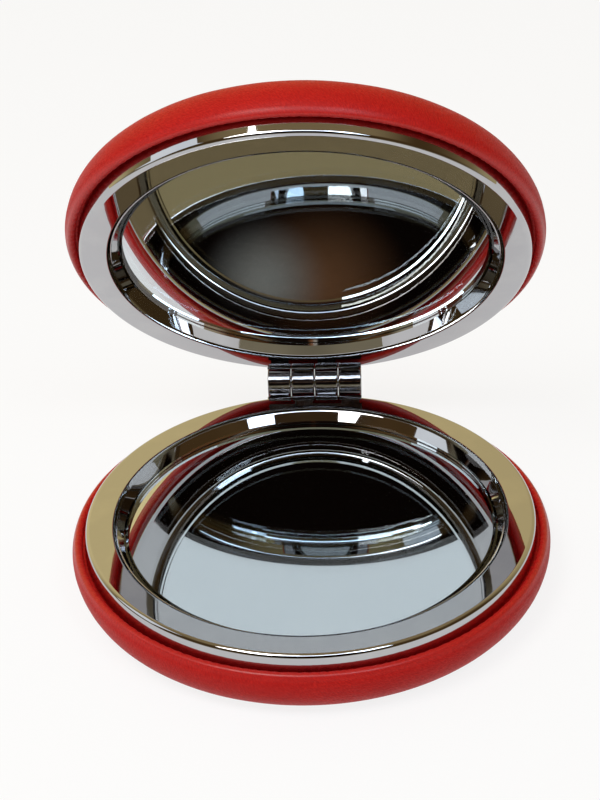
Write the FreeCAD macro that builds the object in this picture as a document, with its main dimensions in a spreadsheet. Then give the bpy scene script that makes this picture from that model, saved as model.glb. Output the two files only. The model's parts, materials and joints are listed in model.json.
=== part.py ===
import FreeCAD, Part
import Sketcher
import math
import os
import re

# A round pocket mirror that opens like a book: two like halves, each a chrome pan with a
# glass mirror in its well and a padded leather-look cover outside, joined by a pin hinge.
# Millimetres. The origin is the middle of the flat under the base, +Z is up, +Y is the hinge.

# Driving dimensions
SIZES = {
    "rest_opening": (59.0, "angle between the two halves at rest, in degrees"),
    "closing_gap": (0.3, "between the two ledges when the mirror is shut"),
    "skin_thickness": (0.7, "leather-look cover material"),
    "foam_clearance": (0.1, "foam to the inside of the cover"),
    "foam_thickness": (3.85, "foam under the backing shell"),
    "side_foam": (1.0, "foam between the backing shell's rim and the cover"),
    "lid_crown": (0.8, "how far the lid's padding swells at its middle"),
    "shell_wall": (1.0, "wall of the moulded backing shell"),
    "shell_clearance": (0.3, "backing shell round the mirror well"),
    "glue_thickness": (0.15, "glue between backing shell and pan"),
    "glue_margin": (3.1, "edge of the well outside that glue"),
    "frame_sheet": (0.5, "sheet of the chrome pan"),
    "well_radius": (27.1, "inside of the mirror well"),
    "bevel_run": (1.35, "sloping side of the well, across from its wall to the ledge"),
    "lip_round": (1.0, "rounded lip between that slope and the ledge"),
    "ledge_width": (5.65, "from the well's wall to the ledge's outer edge"),
    "ledge_edge_round": (0.7, "rounding of the ledge's outer edge"),
    "wall_lean": (0.45, "how far the pan's outer wall leans out at its foot"),
    "tape_thickness": (0.2, "double-sided tape that holds the mirror"),
    "tape_margin": (2.0, "edge of the glass outside its tape"),
    "silver_thickness": (0.1, "silver and paint coat behind the glass"),
    "silver_margin": (0.2, "bare edge of the glass outside its silver"),
    "glass_thickness": (1.8, "mirror glass"),
    "glass_clearance": (0.1, "edge of the glass to the well"),
    "glass_bevel": (0.3, "ground bevel round the top of the glass"),
    "glass_sink": (1.6, "top of the glass below the ledge"),
    "hem_clearance": (0.23, "crease between the pan's foot and the rolled hem"),
    "hem_width": (3.83, "hem turned in from the crease"),
    "hem_glue_thickness": (0.1, "glue under the hem"),
    "roll_radius": (0.62, "fold of the rolled hem"),
    "crease_depth": (0.28, "straight inner side of the fold, from its middle down to the pan's foot"),
    "flank_height": (1.28, "middle of the fold above the cover's widest line"),
    "flank_swell": (0.33, "widest line of the cover outside the fold"),
    "leaf_thickness": (0.7, "plate of the hinge leaf"),
    "leaf_setback": (0.4, "inner end of the leaf from the rounded lip"),
    "leaf_to_roll": (0.7, "hinge leaf above the rolled hem"),
    "leaf_clearance": (0.5, "edge of the leaf's plate to the other half's knuckles"),
    "notch_clearance": (0.15, "notch in the pan's wall each side of the leaf"),
    "knuckle_radius": (2.8, "hinge knuckles"),
    "knuckle_clearance": (0.4, "hinge knuckles behind the pan's foot"),
    "knuckle_width": (3.7, "one hinge knuckle"),
    "knuckle_gap": (0.1, "between neighbouring knuckles"),
    "knuckle_round": (0.25, "rounding of a knuckle's ends"),
    "finger_margin": (0.15, "finger inside the rounding of the knuckle that it carries"),
    "pin_radius": (1.0, "hinge pin"),
    "pin_running_clearance": (0.03, "pin in the lid's knuckles"),
    "pin_bevel": (0.2, "bevel on the pin's ends"),
    "overrun": (1.0, "how far cuts run past the material"),
}

doc = FreeCAD.newDocument("compact_mirror")
sheet = doc.addObject("Spreadsheet::Sheet", "Sizes")
for row, (alias, (number, words)) in enumerate(SIZES.items(), start=1):
    sheet.set(f"A{row}", words)
    sheet.set(f"B{row}", str(number))
    sheet.setAlias(f"B{row}", alias)
doc.recompute()

# Heights in a half, stacked up from the outside of its cover to the ledge
SHELL_UNDER = "(skin_thickness + foam_clearance + foam_thickness)"
SHELL_FLOOR = f"({SHELL_UNDER} + shell_wall)"
WELL_UNDER = f"({SHELL_FLOOR} + glue_thickness)"
WELL_FLOOR = f"({WELL_UNDER} + frame_sheet)"
SILVER_UNDER = f"({WELL_FLOOR} + tape_thickness)"
GLASS_UNDER = f"({SILVER_UNDER} + silver_thickness)"
GLASS_TOP = f"({GLASS_UNDER} + glass_thickness)"
LEDGE = f"({GLASS_TOP} + glass_sink)"
AXIS = f"({LEDGE} + closing_gap / 2)"

# And down again outside the well: lip, hinge leaf, rolled hem, and the rim that carries the hem
LEDGE_UNDER = f"({LEDGE} - frame_sheet)"
LIP_MIDDLE = f"({LEDGE} - lip_round)"
LEAF_UNDER = f"({LEDGE_UNDER} - leaf_thickness)"
ROLL_TOP = f"({LEAF_UNDER} - leaf_to_roll)"
FOOT = f"({ROLL_TOP} - roll_radius - crease_depth)"
HEM_UNDER = f"({FOOT} - skin_thickness)"
RIM_TOP = f"({HEM_UNDER} - hem_glue_thickness)"
RIM_UNDER = f"({RIM_TOP} - shell_wall)"
WIDEST = f"({ROLL_TOP} - roll_radius - flank_height)"

# Radii from the well out to the cover and the hinge axis, and widths along the hinge
GLASS_RADIUS = "(well_radius - glass_clearance)"
BEVEL_LENGTH = "((bevel_run ^ 2 + glass_sink ^ 2) ^ 0.5)"
LIP_RADIUS = f"(well_radius + bevel_run + lip_round * ({BEVEL_LENGTH} - bevel_run) / glass_sink)"
LEDGE_RADIUS = "(well_radius + ledge_width)"
FOOT_RADIUS = f"({LEDGE_RADIUS} + wall_lean)"
CREASE_RADIUS = f"({FOOT_RADIUS} + hem_clearance)"
ROLL_TOP_RADIUS = f"({CREASE_RADIUS} + roll_radius)"
COVER_RADIUS = f"({ROLL_TOP_RADIUS} + roll_radius + flank_swell)"
HEM_RADIUS = f"({CREASE_RADIUS} - hem_width)"
SHELL_STEP = "(well_radius + frame_sheet + shell_clearance)"
SHELL_RADIUS = f"({COVER_RADIUS} - skin_thickness - side_foam)"
HINGE_REACH = f"({FOOT_RADIUS} + knuckle_clearance + knuckle_radius)"
LEAF_ROOT = f"({LIP_RADIUS} + leaf_setback)"
LEAF_EDGE = f"({HINGE_REACH} - knuckle_radius - leaf_clearance)"
LEAF_HALF_WIDTH = "((4 * knuckle_width + 3 * knuckle_gap) / 2)"
KNUCKLE_STEP = "(2 * (knuckle_width + knuckle_gap))"
FINGER_INSET = "(knuckle_round + finger_margin)"


def bound(expression):
    """The expression with every size name pointing at the sheet."""
    return re.sub(r"\b([a-z][a-z_]*)\b", r"Sizes.\1", expression)


def size(expression):
    """The number that an expression of sizes gives."""
    return float(sheet.evalExpression(bound(expression)))


def vector(radius, height):
    """A point of a section, drawn in the plane of +X and +Z."""
    return FreeCAD.Vector(radius, 0, height)


# Where each half lies
def half_placements():
    """The base as drawn, and the lid turned over onto it and swung open on the hinge."""
    middle = FreeCAD.Vector(0, 0, size(AXIS))
    hinge = FreeCAD.Vector(0, size(HINGE_REACH), size(AXIS))
    turned_over = FreeCAD.Rotation(FreeCAD.Vector(0, 1, 0), 180)
    swung_open = FreeCAD.Rotation(FreeCAD.Vector(-1, 0, 0), size("rest_opening"))
    shut = FreeCAD.Placement(FreeCAD.Vector(), turned_over, middle)
    opened = FreeCAD.Placement(FreeCAD.Vector(), swung_open, hinge)
    return {"base": FreeCAD.Placement(), "lid": opened.multiply(shut)}


PLACES = half_placements()
nodes = []


def keep(part, half, name):
    """Name a finished sub-part and put it where its half lies."""
    part.Label = f"{half}_{name}" if half else name
    part.Placement = PLACES[half or "base"].multiply(part.Placement)
    nodes.append(part)


# Sketches whose corners are tied to the sheet
def origin_feature(body, role):
    return next(item for item in body.Origin.OriginFeatures if item.Role == role)


def new_sketch(body, name, plane, offset=None):
    """A sketch on one of its body's own planes, moved along the plane's normal by offset."""
    sketch = body.newObject("Sketcher::SketchObject", name)
    sketch.AttachmentSupport = [(origin_feature(body, plane), "")]
    sketch.MapMode = "FlatFace"
    if offset:
        sketch.setExpression(".AttachmentOffset.Base.z", bound(offset))
    return sketch


def tie(sketch, kind, geometry, vertex, expression):
    """Fix one coordinate of a vertex, measured from the sketch's origin."""
    axis_line = {"DistanceX": -2, "DistanceY": -1}[kind]
    if expression == "0":
        sketch.addConstraint(Sketcher.Constraint("PointOnObject", geometry, vertex, axis_line))
        return
    if expression.startswith("-"):
        expression = expression[1:]
        ends = (geometry, vertex, -1, 1)
    else:
        ends = (-1, 1, geometry, vertex)
    index = sketch.addConstraint(Sketcher.Constraint(kind, *ends, size(expression)))
    sketch.setExpression(f"Constraints[{index}]", bound(expression))


def arc_between(start, end, radius, turns_left):
    """The short arc from start to end, drawn anticlockwise as sketches want it."""
    chord = end - start
    side = FreeCAD.Vector(-chord.y, chord.x, 0) if turns_left else FreeCAD.Vector(chord.y, -chord.x, 0)
    rise = math.sqrt(radius ** 2 - (chord.Length / 2) ** 2)
    centre = start + chord / 2 + side.normalize() * rise
    first, last = (start, end) if turns_left else (end, start)
    angles = [math.atan2(point.y - centre.y, point.x - centre.x) for point in (first, last)]
    circle = Part.Circle(centre, FreeCAD.Vector(0, 0, 1), radius)
    return Part.ArcOfCircle(circle, *angles)


def outline(sketch, corners, arcs=None):
    """A closed outline through corners given as two expressions each.

    arcs holds, for a corner's number, the radius of the run that leaves it and whether it turns left.
    """
    arcs = arcs or {}
    points = [FreeCAD.Vector(size(across), size(up), 0) for across, up in corners]
    ends = []
    for number, start in enumerate(points):
        end = points[(number + 1) % len(points)]
        if number in arcs:
            radius, turns_left = arcs[number]
            geometry = sketch.addGeometry(arc_between(start, end, size(radius), turns_left))
            index = sketch.addConstraint(Sketcher.Constraint("Radius", geometry, size(radius)))
            sketch.setExpression(f"Constraints[{index}]", bound(radius))
            ends.append((geometry, 1, 2) if turns_left else (geometry, 2, 1))
        else:
            geometry = sketch.addGeometry(Part.LineSegment(start, end))
            ends.append((geometry, 1, 2))
    for number, (geometry, first, last) in enumerate(ends):
        following, its_first = ends[(number + 1) % len(ends)][:2]
        sketch.addConstraint(Sketcher.Constraint("Coincident", geometry, last, following, its_first))
        tie(sketch, "DistanceX", geometry, first, corners[number][0])
        tie(sketch, "DistanceY", geometry, first, corners[number][1])


def circle_in(sketch, across, up, radius):
    """A circle whose centre and radius are tied to the sheet."""
    centre = FreeCAD.Vector(size(across), size(up), 0)
    circle = sketch.addGeometry(Part.Circle(centre, FreeCAD.Vector(0, 0, 1), size(radius)))
    tie(sketch, "DistanceX", circle, 3, across)
    tie(sketch, "DistanceY", circle, 3, up)
    index = sketch.addConstraint(Sketcher.Constraint("Radius", circle, size(radius)))
    sketch.setExpression(f"Constraints[{index}]", bound(radius))


def turned_body(label, corners, arcs=None):
    """A body turned about the middle of a half from its section."""
    body = doc.addObject("PartDesign::Body", label)
    section = new_sketch(body, f"{label}_section", "XZ_Plane")
    outline(section, corners, arcs)
    turning = body.newObject("PartDesign::Revolution", f"{label}_turned")
    turning.Profile = section
    turning.ReferenceAxis = (section, ["V_Axis"])
    doc.recompute()
    return body


def rims(shape, radius):
    """Names of a shape's edges that are whole circles of one radius."""
    names = []
    for number, edge in enumerate(shape.Edges, start=1):
        whole_circle = isinstance(edge.Curve, Part.Circle) and edge.isClosed()
        if whole_circle and abs(edge.Curve.Radius - radius) < Part.Precision.confusion():
            names.append(f"Edge{number}")
    return names


def rectangle(left, right, low, high):
    """Corners of a rectangle, as expressions."""
    return [(left, low), (right, low), (right, high), (left, high)]


def padded(body, sketch, name, length, both_ways=False):
    """Thicken a sketch by a length tied to the sheet."""
    pad = body.newObject("PartDesign::Pad", name)
    pad.Profile = sketch
    pad.Midplane = both_ways
    pad.setExpression("Length", bound(length))
    doc.recompute()
    return pad


def cut_through(body, sketch, name, backwards=False):
    """Cut a sketch right through its body, and make sure that it took something away."""
    before = body.Shape.Volume
    pocket = body.newObject("PartDesign::Pocket", name)
    pocket.Profile = sketch
    pocket.Type = "ThroughAll"
    pocket.Reversed = backwards
    doc.recompute()
    if not body.Shape.Volume < before:
        raise ValueError(f"{name} cuts nothing")


def rounded(body, name, radius, rounding):
    """Round the edges of one radius."""
    feature = body.Tip
    fillet = body.newObject("PartDesign::Fillet", name)
    fillet.Base = (feature, rims(feature.Shape, size(radius)))
    fillet.setExpression("Radius", bound(rounding))
    doc.recompute()


# Chrome pan: outer wall, flat ledge, rounded lip, sloping side and mirror well, pressed from one sheet
def lip_foot(reach):
    """Where an arc of the lip, at this reach from its middle, runs into the sloping side of the well."""
    return (f"({LIP_RADIUS} - {reach} * glass_sink / {BEVEL_LENGTH})",
            f"({LIP_MIDDLE} + {reach} * bevel_run / {BEVEL_LENGTH})")


def frame(half):
    label = f"{half}_frame"
    inner_reach = "(lip_round - frame_sheet)"
    lip_radius, lip_height = lip_foot(inner_reach)
    slope_under = f"({lip_height} - ({lip_radius} - well_radius - frame_sheet) * glass_sink / bevel_run)"
    body = turned_body(label, [
        (FOOT_RADIUS, FOOT),
        (LEDGE_RADIUS, LEDGE),
        (LIP_RADIUS, LEDGE),
        lip_foot("lip_round"),
        ("well_radius", GLASS_TOP),
        ("well_radius", WELL_FLOOR),
        ("0", WELL_FLOOR),
        ("0", WELL_UNDER),
        ("well_radius + frame_sheet", WELL_UNDER),
        ("well_radius + frame_sheet", slope_under),
        (lip_radius, lip_height),
        (LIP_RADIUS, LEDGE_UNDER),
        (f"{LEDGE_RADIUS} - frame_sheet", LEDGE_UNDER),
        (f"{FOOT_RADIUS} - frame_sheet", FOOT),
    ], {2: ("lip_round", True), 10: (inner_reach, False)})
    rounded(body, f"{label}_edge", LEDGE_RADIUS, "ledge_edge_round")
    notch = new_sketch(body, f"{label}_notch_outline", "XZ_Plane", f"-{LEAF_ROOT}")
    half_notch = f"({LEAF_HALF_WIDTH} + notch_clearance)"
    outline(notch, rectangle(f"-{half_notch}", half_notch, f"({FOOT} - overrun)", LEDGE_UNDER))
    cut_through(body, notch, f"{label}_notch")
    keep(body, half, "frame")


# Mirror: bevelled glass, its silver and paint coat, and the tape that holds it in the well
def disc(half, name, radius, low, thickness):
    """A thin flat disc about the middle of a half."""
    part = doc.addObject("Part::Cylinder", f"{half}_{name}")
    part.setExpression("Radius", bound(radius))
    part.setExpression("Height", bound(thickness))
    part.Placement = FreeCAD.Placement(FreeCAD.Vector(0, 0, size(low)), FreeCAD.Rotation())
    keep(part, half, name)


def mirror(half):
    body = turned_body(f"{half}_mirror_glass", [
        ("0", GLASS_UNDER),
        (GLASS_RADIUS, GLASS_UNDER),
        (GLASS_RADIUS, f"({GLASS_TOP} - glass_bevel)"),
        (f"({GLASS_RADIUS} - glass_bevel)", GLASS_TOP),
        ("0", GLASS_TOP),
    ])
    keep(body, half, "mirror_glass")
    disc(half, "mirror_silver", f"{GLASS_RADIUS} - silver_margin", SILVER_UNDER, "silver_thickness")
    disc(half, "mirror_tape", f"{GLASS_RADIUS} - tape_margin", WELL_FLOOR, "tape_thickness")


# Moulded backing shell that the cover is wrapped round, and the glue that joins it to the pan
def backing_shell(half):
    body = turned_body(f"{half}_backing_shell", [
        ("0", SHELL_UNDER),
        (f"{SHELL_STEP} + shell_wall", SHELL_UNDER),
        (f"{SHELL_STEP} + shell_wall", RIM_UNDER),
        (f"{SHELL_RADIUS} - shell_wall", RIM_UNDER),
        (f"{SHELL_RADIUS} - shell_wall", SHELL_UNDER),
        (SHELL_RADIUS, SHELL_UNDER),
        (SHELL_RADIUS, RIM_TOP),
        (SHELL_STEP, RIM_TOP),
        (SHELL_STEP, SHELL_FLOOR),
        ("0", SHELL_FLOOR),
    ])
    keep(body, half, "backing_shell")
    disc(half, "shell_glue", "well_radius - glue_margin", SHELL_FLOOR, "glue_thickness")


def hem_glue(half):
    """The ring of glue that holds the turned-in hem down on the shell's rim."""
    rings = []
    for name, radius in (("outside", SHELL_RADIUS), ("inside", HEM_RADIUS)):
        ring = doc.addObject("Part::Cylinder", f"{half}_hem_glue_{name}")
        ring.setExpression("Radius", bound(radius))
        ring.setExpression("Height", bound("hem_glue_thickness"))
        ring.setExpression("Placement.Base.z", bound(RIM_TOP))
        rings.append(ring)
    part = doc.addObject("Part::Cut", f"{half}_hem_glue")
    part.Base, part.Tool = rings
    keep(part, half, "hem_glue")


# Padded cover: its section is a chain of arcs that run into each other, so where they meet is worked out
class CoverSection:
    """The outside of the cover, and lines inside it at a given depth in the material."""

    def __init__(self, crown):
        self.widest = size(WIDEST)
        self.band = vector(size(COVER_RADIUS) - self.widest, self.widest)
        self.roll = vector(size(ROLL_TOP_RADIUS), size(f"{ROLL_TOP} - roll_radius"))
        run = size("roll_radius + flank_swell")
        rise = size("flank_height")
        fold = size("roll_radius")
        self.flank_radius = (run ** 2 + rise ** 2 - fold ** 2) / (2 * (run - fold))
        self.flank = vector(size(COVER_RADIUS) - self.flank_radius, self.widest)
        self.lean = math.atan2(rise, self.roll.x - self.flank.x)
        self.crown = crown
        if crown:
            self.dome_reach = (self.band.x ** 2 / crown + crown) / 2
            self.dome = vector(0, self.widest + self.dome_reach - crown)
            self.tuck = math.asin(self.band.x / self.dome_reach)
        else:
            self.tuck = 0.0

    def arc(self, centre, radius, first, last):
        """An arc of the section between two angles measured from +X towards +Z."""
        angles = (first, (first + last) / 2, last)
        return Part.Arc(*(centre + vector(math.cos(a), math.sin(a)) * radius for a in angles)).toShape()

    def outside(self, depth, top):
        """Edges from the middle of the outside to the angle top on the flank, depth inside the cover."""
        low = -math.pi / 2 + self.tuck
        band = self.arc(self.band, self.widest - depth, low, 0)
        flank = self.arc(self.flank, self.flank_radius - depth, 0, top)
        start = band.Vertexes[0].Point
        if self.crown:
            middle = self.arc(self.dome, self.dome_reach + self.widest - depth, -math.pi / 2, low)
        else:
            middle = Part.LineSegment(vector(0, depth), start).toShape()
        return [middle, band, flank]

    def flank_angle(self, depth, height):
        """Where a line inside the flank comes to a height."""
        return math.asin((height - self.widest) / (self.flank_radius - depth))


def turned(edges, corners):
    """Join a chain of edges and straight runs through corners into a section, and turn it."""
    runs = [Part.LineSegment(first, last).toShape() for first, last in zip(corners, corners[1:])]
    section = Part.Face(Part.Wire(Part.__sortEdges__(edges + runs)))
    return section.revolve(FreeCAD.Vector(), FreeCAD.Vector(0, 0, 1), 360)


def soft_part(half, name, shape):
    part = doc.addObject("Part::Feature", f"{half}_{name}")
    part.Shape = shape
    keep(part, half, name)


def cover_skin(half, section):
    """The cover material: outside, rolled edge, and the hem turned in over the shell's rim."""
    depth = size("skin_thickness")
    roll = section.arc(section.roll, size("roll_radius"), section.lean, math.pi)
    outside = section.outside(0, section.lean)
    inside = section.outside(depth, section.flank_angle(depth, size(HEM_UNDER)))
    edges = outside + [roll] + inside
    hem_radius = size(HEM_RADIUS)
    hem = [
        roll.Vertexes[-1].Point,
        vector(size(CREASE_RADIUS), size(FOOT)),
        vector(hem_radius, size(FOOT)),
        vector(hem_radius, size(HEM_UNDER)),
        inside[-1].Vertexes[-1].Point,
    ]
    middle = Part.LineSegment(outside[0].Vertexes[0].Point, inside[0].Vertexes[0].Point).toShape()
    soft_part(half, "cover_skin", turned(edges + [middle], hem))


def foam_pad(half, section):
    """The padding between the cover and the backing shell."""
    depth = size("skin_thickness + foam_clearance")
    edges = section.outside(depth, section.flank_angle(depth, size(RIM_TOP)))
    beside_shell = size(f"{SHELL_RADIUS} + foam_clearance")
    corners = [
        edges[-1].Vertexes[-1].Point,
        vector(beside_shell, size(RIM_TOP)),
        vector(beside_shell, size(SHELL_UNDER)),
        vector(0, size(SHELL_UNDER)),
        edges[0].Vertexes[0].Point,
    ]
    soft_part(half, "foam_pad", turned(edges, corners))


# Hinge: a leaf under each ledge with two knuckles, set so that two like leaves interleave on one pin
def hinge_leaf(half, bore):
    label = f"{half}_hinge_leaf"
    body = doc.addObject("PartDesign::Body", label)
    side = new_sketch(body, f"{label}_side", "YZ_Plane")
    outline(side, rectangle(LEAF_ROOT, LEAF_EDGE, LEAF_UNDER, LEDGE_UNDER))
    padded(body, side, f"{label}_plate", f"2 * {LEAF_HALF_WIDTH}", both_ways=True)
    arm = new_sketch(body, f"{label}_arm", "YZ_Plane", f"{FINGER_INSET} - {LEAF_HALF_WIDTH}")
    outline(arm, rectangle(LEAF_ROOT, HINGE_REACH, LEAF_UNDER, LEDGE_UNDER))
    finger = padded(body, arm, f"{label}_finger", f"knuckle_width - 2 * {FINGER_INSET}")
    barrel = new_sketch(body, f"{label}_barrel", "YZ_Plane", f"-{LEAF_HALF_WIDTH}")
    circle_in(barrel, HINGE_REACH, AXIS, "knuckle_radius")
    knuckle = padded(body, barrel, f"{label}_knuckle", "knuckle_width")
    pair = body.newObject("PartDesign::LinearPattern", f"{label}_knuckles")
    pair.Originals = [finger, knuckle]
    pair.Direction = (origin_feature(body, "X_Axis"), [""])
    pair.setExpression("Length", bound(KNUCKLE_STEP))
    pair.Occurrences = 2
    body.Tip = pair
    doc.recompute()
    rounded(body, f"{label}_ends", "knuckle_radius", "knuckle_round")
    hole = new_sketch(body, f"{label}_bore_outline", "YZ_Plane", f"-({LEAF_HALF_WIDTH} + overrun)")
    circle_in(hole, HINGE_REACH, AXIS, bore)
    cut_through(body, hole, f"{label}_bore", backwards=True)
    keep(body, half, "hinge_leaf")


def hinge_pin():
    body = doc.addObject("PartDesign::Body", "hinge_pin")
    section = new_sketch(body, "hinge_pin_section", "YZ_Plane")
    circle_in(section, HINGE_REACH, AXIS, "pin_radius")
    rod = padded(body, section, "hinge_pin_rod", f"2 * {LEAF_HALF_WIDTH}", both_ways=True)
    bevel = body.newObject("PartDesign::Chamfer", "hinge_pin_bevel")
    bevel.Base = (rod, rims(rod.Shape, size("pin_radius")))
    bevel.setExpression("Size", bound("pin_bevel"))
    doc.recompute()
    keep(body, None, "hinge_pin")


# The two halves. The pin is a tight fit in the base's knuckles and turns in the lid's.
BORES = {"base": "pin_radius", "lid": "pin_radius + pin_running_clearance"}
CROWNS = {"base": 0, "lid": size("lid_crown")}
for half in PLACES:
    section = CoverSection(CROWNS[half])
    cover_skin(half, section)
    foam_pad(half, section)
    backing_shell(half)
    hem_glue(half)
    frame(half)
    mirror(half)
    hinge_leaf(half, BORES[half])
hinge_pin()

# Check the model, then write one file for each piece
doc.recompute()
for item in doc.Objects:
    if "Invalid" in item.State or "Error" in item.State:
        raise ValueError(f"{item.Name} failed: {item.State}")
os.makedirs("parts", exist_ok=True)
for part in nodes:
    if part.Shape.isNull() or not part.Shape.isValid():
        raise ValueError(f"{part.Label} has no valid shape")
    part.Shape.exportStep(f"parts/{part.Label}.step")
    box = part.Shape.optimalBoundingBox(False)
    print(f"{part.Label}: {len(part.Shape.Solids)} solid, {part.Shape.Volume:.1f} mm3,"
          f" x {box.XMin:.2f} to {box.XMax:.2f}, y {box.YMin:.2f} to {box.YMax:.2f},"
          f" z {box.ZMin:.2f} to {box.ZMax:.2f}")
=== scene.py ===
# %% [markdown]
# # A round compact mirror, dressed around its frame
# The frame holds every piece at its real size: two chrome pans with a mirror in each, the padded
# covers outside them, and the pin hinge that joins the two halves. This lesson gives those pieces
# their looks. The hinge and the hidden pieces keep their own solids and get a finish. Soft pieces,
# mirrors and the polished pans are made anew, in the place that their solid holds. Lengths are in
# metres, so a millimetre gets a name.

# %% Load the frame
import json
import math

import bmesh
import bpy
from mathutils import Matrix, Vector


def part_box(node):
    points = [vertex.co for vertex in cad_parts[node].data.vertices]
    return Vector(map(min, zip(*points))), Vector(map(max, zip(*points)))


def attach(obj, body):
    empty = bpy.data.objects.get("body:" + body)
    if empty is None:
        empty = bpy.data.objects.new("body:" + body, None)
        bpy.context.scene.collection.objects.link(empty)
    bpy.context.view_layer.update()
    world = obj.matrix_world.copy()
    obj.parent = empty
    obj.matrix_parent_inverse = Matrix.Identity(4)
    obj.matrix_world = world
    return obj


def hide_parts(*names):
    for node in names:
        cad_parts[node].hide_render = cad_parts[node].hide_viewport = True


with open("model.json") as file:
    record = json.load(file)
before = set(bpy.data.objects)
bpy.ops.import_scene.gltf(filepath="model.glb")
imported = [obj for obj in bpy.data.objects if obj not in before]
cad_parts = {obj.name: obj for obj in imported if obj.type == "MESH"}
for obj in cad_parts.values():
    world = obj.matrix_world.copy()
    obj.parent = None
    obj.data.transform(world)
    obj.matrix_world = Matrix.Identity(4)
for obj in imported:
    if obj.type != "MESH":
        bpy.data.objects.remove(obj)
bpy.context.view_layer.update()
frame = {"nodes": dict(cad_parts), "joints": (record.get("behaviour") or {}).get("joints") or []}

MM = 0.001
scene = bpy.context.scene
nodes = frame["nodes"]

# %% [markdown]
# ## Read the sizes that the pieces share
# A made piece has to sit where its solid is, so its sizes are read from the solids and not guessed.
# The boxes of the base's pieces give radii and heights, because the base lies flat at the origin.

# %% Sizes from the base's solids
COVER_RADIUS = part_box("base_cover_skin")[1].x
ROLL_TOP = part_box("base_cover_skin")[1].z
HEM_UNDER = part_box("base_hem_glue")[1].z
SHELL_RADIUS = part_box("base_backing_shell")[1].x
SHELL_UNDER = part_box("base_backing_shell")[0].z
SHELL_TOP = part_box("base_backing_shell")[1].z
GLASS_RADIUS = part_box("base_mirror_glass")[1].x
GLASS_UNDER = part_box("base_mirror_glass")[0].z
GLASS_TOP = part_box("base_mirror_glass")[1].z
SILVER_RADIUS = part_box("base_mirror_silver")[1].x
SILVER_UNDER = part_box("base_mirror_silver")[0].z
print("cover radius", round(COVER_RADIUS / MM, 2), "mm, top of its rolled edge", round(ROLL_TOP / MM, 2))

# %% [markdown]
# ## Where the lid lies
# The two halves are alike, so each piece is drawn once, in the base's place. The lid is the base
# turned over onto it and swung open on the hinge. The joint knows where the hinge is and how far
# the lid has to swing back to be shut, so one matrix made from it takes a piece to the lid.

# %% The lid's place
HINGE = Vector(frame["joints"][0]["pos_m"])
OPENING = -math.radians(frame["joints"][0]["range_deg"][0])
swing = Matrix.Rotation(OPENING, 4, Vector(frame["joints"][0]["axis"]))
turned_over = Matrix.Translation((0, 0, 2 * HINGE.z)) @ Matrix.Rotation(math.pi, 4, "Y")
PLACES = {
    "base": Matrix.Identity(4),
    "lid": Matrix.Translation(HINGE) @ swing @ Matrix.Translation(-HINGE) @ turned_over,
}
print("the lid stands open", round(math.degrees(OPENING)), "degrees")

# %% [markdown]
# ## Sums written as Python
# Shaders and geometry trees both do their sums with Math nodes, and a page of such nodes hides the
# sum. Here a wire stands for one output socket, and Python's operators on it add the nodes. Every
# other node comes from one method, which takes its type, its settings and what its sockets get.


# %% Wires and benches
class Wire:
    """One output socket, which can be used in a sum."""

    def __init__(self, bench, socket):
        self.bench = bench
        self.socket = socket

    def worked(self, operation, *values):
        return self.bench.add("ShaderNodeMath", {"operation": operation}, dict(enumerate(values)))

    def __add__(self, other):
        return self.worked("ADD", self, other)

    def __sub__(self, other):
        return self.worked("SUBTRACT", self, other)

    def __rsub__(self, other):
        return self.worked("SUBTRACT", other, self)

    def __mul__(self, other):
        return self.worked("MULTIPLY", self, other)

    def __truediv__(self, other):
        return self.worked("DIVIDE", self, other)

    def __rtruediv__(self, other):
        return self.worked("DIVIDE", other, self)

    def __abs__(self):
        return self.worked("ABSOLUTE", self)

    __radd__ = __add__
    __rmul__ = __mul__


def socket_named(sockets, name):
    """A socket by its place, its identifier or its name."""
    if isinstance(name, int):
        return sockets[name]
    by_identifier = [socket for socket in sockets if socket.identifier == name]
    return by_identifier[0] if by_identifier else sockets[name]


class Bench:
    """A node tree to work on."""

    def __init__(self, tree):
        self.tree = tree

    def feed(self, socket, value):
        if isinstance(value, Wire):
            self.tree.links.new(value.socket, socket)
        else:
            socket.default_value = value

    def add(self, kind, settings=None, sockets=None, out=0):
        """A node of one kind. Its settings come first, because they decide which sockets it has."""
        node = self.tree.nodes.new(kind)
        for name, value in (settings or {}).items():
            setattr(node, name, value)
        for name, value in (sockets or {}).items():
            self.feed(socket_named(node.inputs, name), value)
        return Wire(self, socket_named(node.outputs, out))

    def parts(self, vector):
        """The three numbers of a vector."""
        split = self.tree.nodes.new("ShaderNodeSeparateXYZ")
        self.feed(split.inputs[0], vector)
        return [Wire(self, output) for output in split.outputs]

    def step(self, value, low, high):
        """0 below low, 1 above high, and a smooth rise between."""
        ends = {"Value": value, "From Min": low, "From Max": high}
        return self.add("ShaderNodeMapRange", {"interpolation_type": "SMOOTHSTEP"}, ends)

    def mixed(self, share, first, second):
        """A colour between two colours."""
        values = {"Factor_Float": share, "A_Color": first, "B_Color": second}
        return self.add("ShaderNodeMix", {"data_type": "RGBA"}, values, "Result_Color")

    def cloud(self, vector, size, detail=2.0):
        """Soft noise whose lumps have a real size."""
        lumps = {"Vector": vector, "Scale": 1 / size, "Detail": detail}
        return self.add("ShaderNodeTexNoise", None, lumps, "Fac")


print("benches ready")

# %% [markdown]
# ## Finishes: a place to start
# Every finish here is one Principled shader whose colour, roughness and relief come from procedural
# textures in the object's own coordinates, so a pattern stays on its piece when the piece moves.


# %% Start a finish
def finish(name, **constants):
    """A new material with its fixed values set, its bench and its shader."""
    material = bpy.data.materials.new(name)
    material.use_nodes = True
    shader = material.node_tree.nodes["Principled BSDF"]
    for label, value in constants.items():
        shader.inputs[label.replace("_", " ")].default_value = value
    return material, Bench(material.node_tree), shader


def object_place(bench):
    return bench.add("ShaderNodeTexCoord", out="Object")


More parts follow.
